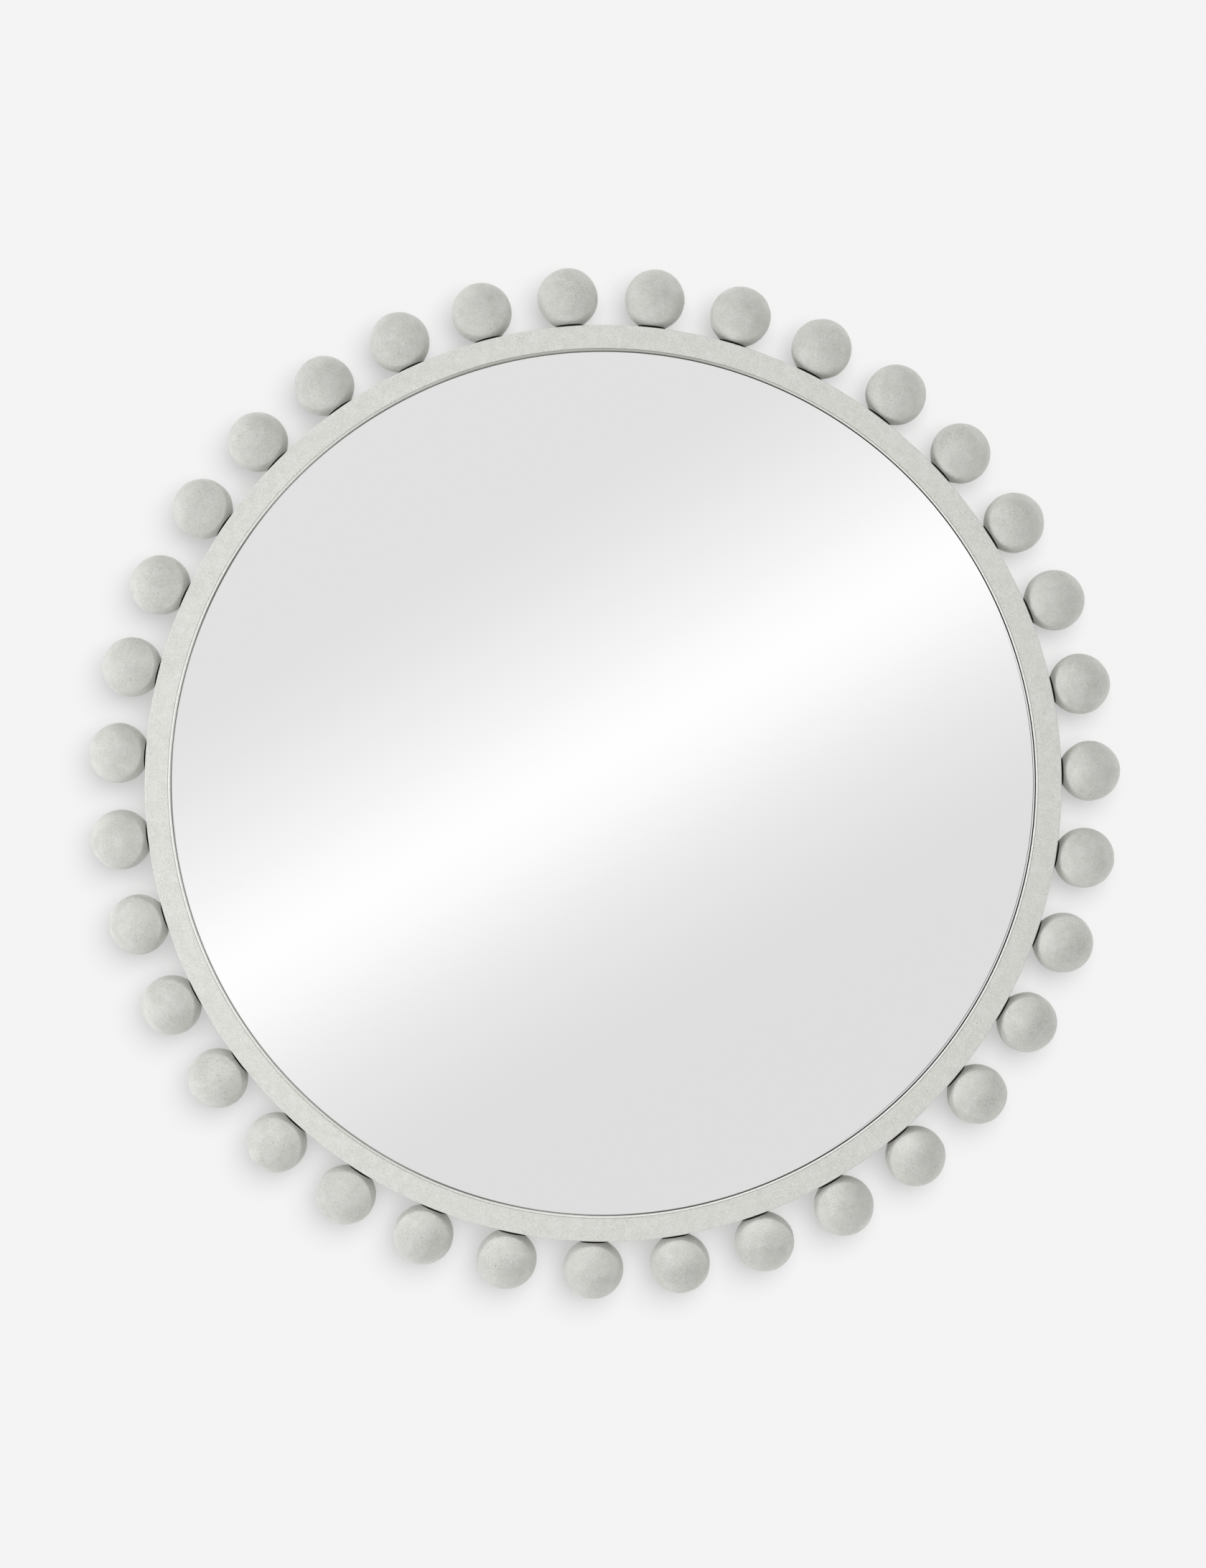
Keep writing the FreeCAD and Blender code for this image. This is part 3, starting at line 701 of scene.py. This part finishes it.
print("Each of", len(ball_skins), "balls has", len(ball_skins[0].data.polygons), "faces")

# %% [markdown]
# ## Weld beads
#
# A bead joins each neck's flat to the hoop. It stands back from the neck's edge, so from the
# front it is only the bottom of the narrow dark gap between the two. It is a collar about the
# ball's axis: its upper end is flat under the ball, and its foot has to follow the hoop's curve,
# so the foot's height comes from the circle of the hoop at each point's distance from the axis.
# A welder's hand leaves shallow ripples.

# %% Shape the beads
BEAD_COLUMNS = 72
BEAD_TOP = BALL_CIRCLE - BALL_SEAT
BEAD_RADIUS = NECK_RADIUS - WELD_RECESS
RIPPLES = 26
RIPPLE_HEIGHT = 0.20 * MM


def bead_section():
    """Pairs of a share of the way from the hoop up to the ball, and a radius."""
    up = np.linspace(0, 1, 9)
    side = np.stack([up, BEAD_RADIUS + WELD_FLARE * (1 - up) ** 2], -1)
    bore = [[1.0, MOUTH_RADIUS], [0.5, MOUTH_RADIUS], [0.0, MOUTH_RADIUS]]
    return np.concatenate([side, [[1.0, BEAD_RADIUS - 0.25 * MM]], bore])


def bead_points(number):
    """One bead's grid; its foot lies at sqrt(hoop^2 - beside^2) from the mirror's centre.

    The ripples are a cosine round the bead whose waves are closer in some places than in others.
    They are highest halfway up the bead's side and die away at its two ends.
    """
    axis, aside = ball_axes(number)
    turn = np.linspace(0, TURN, BEAD_COLUMNS, endpoint=False)
    share, radius = (column[:, None] for column in bead_section().T)
    phase = rng.uniform(0, TURN, 2)
    uneven = 2.2 * np.sin(2 * turn + phase[0])
    ripple = RIPPLE_HEIGHT * np.cos(RIPPLES * turn + uneven + phase[1])
    bulge = np.sin(math.pi * share) * (radius > BEAD_RADIUS)
    radius = radius + ripple * bulge
    beside = radius * np.cos(turn)
    foot = np.sqrt(BAND_OUTSIDE ** 2 - beside ** 2)
    reach = foot + (BEAD_TOP - foot) * share
    ahead = BALL_HEIGHT + radius * np.sin(turn)
    points = (CENTRE + reach[..., None] * axis + beside[..., None] * aside
              + ahead[..., None] * FORWARD)
    return points.reshape(-1, 3)


bead_rows = len(bead_section())
bead_quads = joined_faces(bead_rows, BEAD_COLUMNS, closed=True)
all_bead_points = np.concatenate([bead_points(number) for number in range(BALLS)])
# The whole bead lies in the gap and carries the mark for painted shade there
bead_skin = make_skin(
    "weld_skin", all_bead_points,
    np.concatenate([bead_quads + number * bead_rows * BEAD_COLUMNS for number in range(BALLS)]),
    NO_TRIANGLES, ["ball_welds"], {"painted_gap_shade": np.ones(len(all_bead_points))})
print("The beads have", len(bead_skin.data.polygons), "faces")

# %% [markdown]
# ## Light across the mirror
#
# At the sides and the bottom of the photograph, the balls have a sharp dark crescent beside the
# frame. It is taken to be the shadow that the edge of the face throws from a low light on the
# far side of the mirror. Here it comes out softer and wider, and hardly shows at the right. One
# such lamp would also reach other balls from the wrong side, so the balls are lit five at a
# time, each five by a lamp of their own. The inner sides are brightest on the balls at the
# bottom, so each lamp's strength is a level plus a slope up the ring.

# %% Hang a low lamp opposite each five balls
GROUP = 5
LOW_WATTS = 44
WATTS_UP = -18
low_lamps = []
for first in range(0, BALLS, GROUP):
    axis = ball_axes(first + GROUP // 2)[0]
    group = bpy.data.collections.new(f"balls_from_{first + 1:02d}")
    for piece in ball_skins[first:first + GROUP]:
        group.objects.link(piece)
    low_lamps.append(hang_lamp(f"low_lamp_{first + 1:02d}", "AREA",
                               SIDE_FORWARD * FORWARD - SIDE_REACH * axis,
                               LOW_WATTS + WATTS_UP * axis[2], SMALL_LAMP, NEUTRAL, group))
print("Hung", len(low_lamps), "low lamps of", [round(lamp.data.energy) for lamp in low_lamps], "W")

# %% [markdown]
# ## Paint
#
# The paint is a warm off-white, nearly matt, and never even: soft mottling about a centimetre
# across, a fine grain, dark specks that gather in patches, and a few pits where the steel shows
# through. Each of these is a noise of its own size in the object's coordinates, so the pattern
# is in real millimetres and differs from ball to ball. The same noises drive the colour, the
# roughness and a very shallow bump.

# %% Helpers for materials
def new_material(name):
    """A material with only a shader and an output, and the shader ready to wire."""
    material = bpy.data.materials.new(name)
    material.use_nodes = True
    tree = material.node_tree
    tree.nodes.clear()
    shader = tree.nodes.new("ShaderNodeBsdfPrincipled")
    output = tree.nodes.new("ShaderNodeOutputMaterial")
    tree.links.new(shader.outputs[0], output.inputs["Surface"])
    return material, tree, shader


def place_of(tree, stretch=(1, 1, 1), turn=(0, 0, 0)):
    """The object's own coordinates in metres, stretched and turned if asked."""
    place = tree.nodes.new("ShaderNodeTexCoord").outputs["Object"]
    if stretch == (1, 1, 1) and turn == (0, 0, 0):
        return place
    mapping = tree.nodes.new("ShaderNodeMapping")
    mapping.inputs["Scale"].default_value = stretch
    mapping.inputs["Rotation"].default_value = turn
    tree.links.new(place, mapping.inputs["Vector"])
    return mapping.outputs[0]


def noise(tree, place, grain, detail=3.0, roughness=0.55):
    """Noise whose blots are about the given size in metres."""
    node = tree.nodes.new("ShaderNodeTexNoise")
    node.inputs["Scale"].default_value = 1 / grain
    node.inputs["Detail"].default_value = detail
    node.inputs["Roughness"].default_value = roughness
    tree.links.new(place, node.inputs["Vector"])
    return node.outputs["Fac"]


def mark_of(tree, mark):
    """The values that a skin's points carry under a name."""
    node = tree.nodes.new("ShaderNodeAttribute")
    node.attribute_name = mark
    return node.outputs["Fac"]


def between(tree, value, low, high, start=0.0, end=1.0):
    """Carry a value from one range to another, and hold it there."""
    node = tree.nodes.new("ShaderNodeMapRange")
    for name, number in (("From Min", low), ("From Max", high), ("To Min", start), ("To Max", end)):
        node.inputs[name].default_value = number
    tree.links.new(value, node.inputs["Value"])
    return node.outputs[0]


def blend_colors(tree, share, first, second):
    """Mix two colours, each a tuple or another node's output."""
    node = tree.nodes.new("ShaderNodeMix")
    node.data_type = "RGBA"
    tree.links.new(share, node.inputs["Factor"])
    feed(tree, node.inputs[6], first)
    feed(tree, node.inputs[7], second)
    return node.outputs[2]


def raise_bumps(tree, shader, layers):
    """Stack bumps, each a height value and how many metres it stands for."""
    normal = None
    for value, metres in layers:
        bump = tree.nodes.new("ShaderNodeBump")
        bump.inputs["Distance"].default_value = metres
        tree.links.new(value, bump.inputs["Height"])
        if normal is not None:
            tree.links.new(normal, bump.inputs["Normal"])
        normal = bump.outputs[0]
    tree.links.new(normal, shader.inputs["Normal"])


def tone_color(red, green, blue):
    """A colour written in tones from 0 to 255."""
    return (linear(red), linear(green), linear(blue), 1)


print("Material helpers ready")

# %% Mix the paint
GRAIN_SHARE = 0.42

paint, tree, shader = new_material("warm_white_paint")
place = place_of(tree)
mottle = noise(tree, place, 11 * MM, 4.0, 0.6)
grain = noise(tree, place, 1.3 * MM, 3.0, 0.65)
fleck = noise(tree, place, 1.9 * MM, 1.0, 0.5)
patches = between(tree, noise(tree, place, 55 * MM, 2.0), 0.42, 0.66)
specks = math_node(tree, "MULTIPLY", between(tree, fleck, 0.60, 0.70), patches)

# A pit may lie at the middle of each cell, about 9 mm wide, but only a few cells get one
pit_cells = tree.nodes.new("ShaderNodeTexVoronoi")
pit_cells.inputs["Scale"].default_value = 1 / (9 * MM)
tree.links.new(place, pit_cells.inputs["Vector"])
few_cells = between(tree, pit_cells.outputs["Color"], 0.80, 0.86)
near_middle = between(tree, pit_cells.outputs["Distance"], 0.09, 0.05)
pits = math_node(tree, "MULTIPLY", near_middle, few_cells)

color = blend_colors(tree, between(tree, mottle, 0.32, 0.68),
                     tone_color(202, 202, 198), tone_color(211, 211, 208))
color = blend_colors(tree, between(tree, grain, 0.5, 0.72, 0.0, GRAIN_SHARE), color,
                     tone_color(172, 172, 165))
color = blend_colors(tree, between(tree, grain, 0.5, 0.28, 0.0, GRAIN_SHARE), color,
                     tone_color(236, 236, 234))
color = blend_colors(tree, math_node(tree, "MULTIPLY", specks, 0.55), color,
                     tone_color(160, 160, 152))
color = blend_colors(tree, math_node(tree, "MULTIPLY", pits, 0.6), color,
                     tone_color(120, 118, 110))
tree.links.new(color, shader.inputs["Base Color"])
tree.links.new(between(tree, mottle, 0.3, 0.7, 0.50, 0.64), shader.inputs["Roughness"])
shader.inputs["Specular IOR Level"].default_value = 0.32
raise_bumps(tree, shader, [(mottle, 0.14 * MM), (grain, 0.06 * MM),
                           (math_node(tree, "MULTIPLY", specks, -1.0), 0.03 * MM)])
painted = [face_skin, band_skin]
for piece in painted:
    piece.data.materials.append(paint)
print("Painted", len(painted), "skins")

# %% [markdown]
# The balls and beads share the paint, but the narrow gap between a ball and the hoop gets
# painted shade: the points of these skins carry a mark where they lie in the gap, and the mark
# darkens a copy of the paint to near black. The hoop round the glass has another copy, lightened
# as a painted highlight, with marks for painted shade round its turn and on its inner wall.

# %% Paint the balls, the beads and the hoop round the glass
def copy_paint(name):
    """A copy of the paint with its shader, and the colour that feeds it."""
    material = paint.copy()
    material.name = name
    tree = material.node_tree
    shader = next(node for node in tree.nodes if node.type == "BSDF_PRINCIPLED")
    return material, tree, shader, shader.inputs["Base Color"].links[0].from_socket


# The balls look duller than the face in the photograph, here in soft patches about 24 mm across
ball_paint, tree, shader, color_so_far = copy_paint("warm_white_paint_with_painted_gap_shade")
dulled = between(tree, noise(tree, place_of(tree), 24 * MM), 0.3, 0.7, 0.14, 0.26)
color_so_far = blend_colors(tree, dulled, color_so_far, tone_color(60, 60, 57))
# Painted shade: the gap's mark darkens the flats and the beads to a near black
tree.links.new(blend_colors(tree, mark_of(tree, "painted_gap_shade"), color_so_far, tone_color(40, 38, 35)),
               shader.inputs["Base Color"])
shader.inputs["Specular IOR Level"].default_value = 0.2
for piece in (*ball_skins, bead_skin):
    piece.data.materials.append(ball_paint)

# The fine hoop's paint is lightened as a painted highlight, for the light that its rounded
# crest catches, and darkened by painted shade round its turn and on its inner wall
hoop_paint, tree, shader, color_so_far = copy_paint("hoop_paint_with_painted_light")
# Painted highlight: soft patches lighten the hoop's paint towards white
painted_highlight_share = between(tree, noise(tree, place_of(tree), 4 * MM), 0.3, 0.7, 0.6, 0.9)
color_so_far = blend_colors(tree, painted_highlight_share, color_so_far, tone_color(240, 240, 237))
# Painted shade: the hoop darkens round its turn, most at the top
color_so_far = blend_colors(tree, mark_of(tree, "painted_hoop_shade"), color_so_far, tone_color(172, 172, 166))
# Painted shade: the hoop's inner wall turns black, fully over the right half
tree.links.new(blend_colors(tree, mark_of(tree, "painted_wall_shade"), color_so_far, tone_color(30, 30, 30)),
               shader.inputs["Base Color"])
sight_skin.data.materials.append(hoop_paint)
print("Painted", len(ball_skins), "balls, their beads and the hoop round the glass")

# %% [markdown]
# ## Mirror
#
# Silvered glass sends back nearly all the light, without spreading it. The glass in front of
# the silver only tints it a trace. A metal with no roughness does this in one surface, which is
# what the eye sees from the front. On the right the black tape shows a second time, as a fainter
# line a little inside the first: that is its image in the silver behind the glass. Here it is a
# dark band at its own distance from the mirror's centre. The band is full to either side of its
# middle, a little below the right, and fades out towards its ends.

# %% Silver the glass
IMAGE_RADIUS = 464.7 * MM
IMAGE_WIDTH = 0.9 * MM
IMAGE_MIDDLE = math.radians(-18)
IMAGE_ENDS = math.radians(42)
IMAGE_FULL = math.radians(26)
IMAGE_SHARE = 0.85


def finish_node(name, material):
    """Give a measured solid its finish, in its own material slots."""
    node = nodes[name]
    if not node.material_slots:
        node.data.materials.append(material)
    for slot in node.material_slots:
        slot.material = material


silver, tree, shader = new_material("silvered_glass")
shader.inputs["Metallic"].default_value = 1.0
shader.inputs["Roughness"].default_value = 0.0
split = tree.nodes.new("ShaderNodeSeparateXYZ")
tree.links.new(place_of(tree), split.inputs[0])
beside = split.outputs["X"]
above = math_node(tree, "SUBTRACT", split.outputs["Z"], float(CENTRE[2]))
radius = math_node(tree, "SQRT", math_node(tree, "ADD", math_node(tree, "POWER", beside, 2.0),
                                           math_node(tree, "POWER", above, 2.0)))
off_line = math_node(tree, "ABSOLUTE", math_node(tree, "SUBTRACT", radius, IMAGE_RADIUS))
on_line = between(tree, off_line, 0.5 * IMAGE_WIDTH, 0.2 * IMAGE_WIDTH)
turn = math_node(tree, "ARCTAN2", above, beside)
off_turn = math_node(tree, "ABSOLUTE", math_node(tree, "SUBTRACT", turn, IMAGE_MIDDLE))
on_turn = between(tree, off_turn, IMAGE_ENDS, IMAGE_FULL, 0.0, IMAGE_SHARE)
image = math_node(tree, "MULTIPLY", on_line, on_turn)
tree.links.new(blend_colors(tree, image, (GLASS_TINT,) * 3 + (1,), tone_color(60, 60, 61)),
               shader.inputs["Base Color"])
finish_node("mirror_plate", silver)
print("Silvered the glass")

# %% [markdown]
# ## Finishes behind the glass
#
# The back is plain workshop stuff: raw fibreboard with its felted grain, zinc-plated buttons
# and screws with a grey bloom, black foam and rubber, and the same paint on what is welded to
# the frame.

# %% Finish the board
board, tree, shader = new_material("raw_fibreboard")
place = place_of(tree)
felt = noise(tree, place_of(tree, (1, 1, 0.25), (0, 0.6, 0)), 1.6 * MM, 4.0, 0.7)
felt_across = noise(tree, place_of(tree, (0.3, 1, 1), (0, -0.5, 0)), 1.9 * MM, 4.0, 0.7)
clouds = noise(tree, place, 70 * MM, 3.0)
fibres = math_node(tree, "MULTIPLY", math_node(tree, "ADD", felt, felt_across), 0.5)
color = blend_colors(tree, between(tree, fibres, 0.36, 0.64),
                     tone_color(142, 110, 76), tone_color(190, 156, 116))
color = blend_colors(tree, between(tree, clouds, 0.4, 0.7, 0, 0.5), color, tone_color(158, 126, 92))
tree.links.new(color, shader.inputs["Base Color"])
shader.inputs["Roughness"].default_value = 0.86
shader.inputs["Specular IOR Level"].default_value = 0.25
raise_bumps(tree, shader, [(fibres, 0.12 * MM)])
finish_node("backing_board", board)
print("Finished the board")

# %% Finish the zinc-plated pieces
zinc, tree, shader = new_material("zinc_plate")
place = place_of(tree)
bloom = noise(tree, place, 6 * MM, 4.0, 0.65)
scratches = noise(tree, place_of(tree, (1, 1, 0.04), (0, 0.9, 0)), 0.5 * MM, 2.0)
color = blend_colors(tree, between(tree, bloom, 0.35, 0.65),
                     tone_color(172, 175, 178), tone_color(206, 208, 206))
tree.links.new(color, shader.inputs["Base Color"])
shader.inputs["Metallic"].default_value = 1.0
rough = math_node(tree, "ADD", between(tree, bloom, 0.3, 0.7, 0.26, 0.40),
                  between(tree, scratches, 0.4, 0.7, 0.0, 0.08))
tree.links.new(rough, shader.inputs["Roughness"])
raise_bumps(tree, shader, [(scratches, 0.015 * MM), (bloom, 0.02 * MM)])
for name in nodes:
    if name.startswith("turn_button") or name in ("button_screws", "button_washers"):
        finish_node(name, zinc)
print("Plated the buttons, screws and washers")

# %% Finish the foams and the rubber
def soft_material(name, cell, low, high, roughness):
    """A foam or a rubber, whose small cells run from one colour to another."""
    material, tree, shader = new_material(name)
    cells = noise(tree, place_of(tree), cell, 3.0, 0.6)
    tree.links.new(blend_colors(tree, between(tree, cells, 0.35, 0.65), low, high),
                   shader.inputs["Base Color"])
    shader.inputs["Roughness"].default_value = roughness
    raise_bumps(tree, shader, [(cells, 0.08 * MM)])
    return material


tape_skin.data.materials.append(soft_material("black_foam", 0.5 * MM, tone_color(20, 20, 21),
                                              tone_color(38, 38, 39), 0.95))
finish_node("foam_sheet", soft_material("pale_foam", 0.8 * MM, tone_color(214, 214, 210),
                                        tone_color(236, 236, 232), 0.8))
finish_node("wall_bumpers", soft_material("bumper_rubber", 1.2 * MM, tone_color(34, 34, 35),
                                          tone_color(58, 58, 58), 0.62))
for name in ("button_lugs", "hanger_plate_left", "hanger_plate_right", "rest_tab_left",
             "rest_tab_right"):
    finish_node(name, paint)
print("Finished the foams, the rubber and the welded plates")
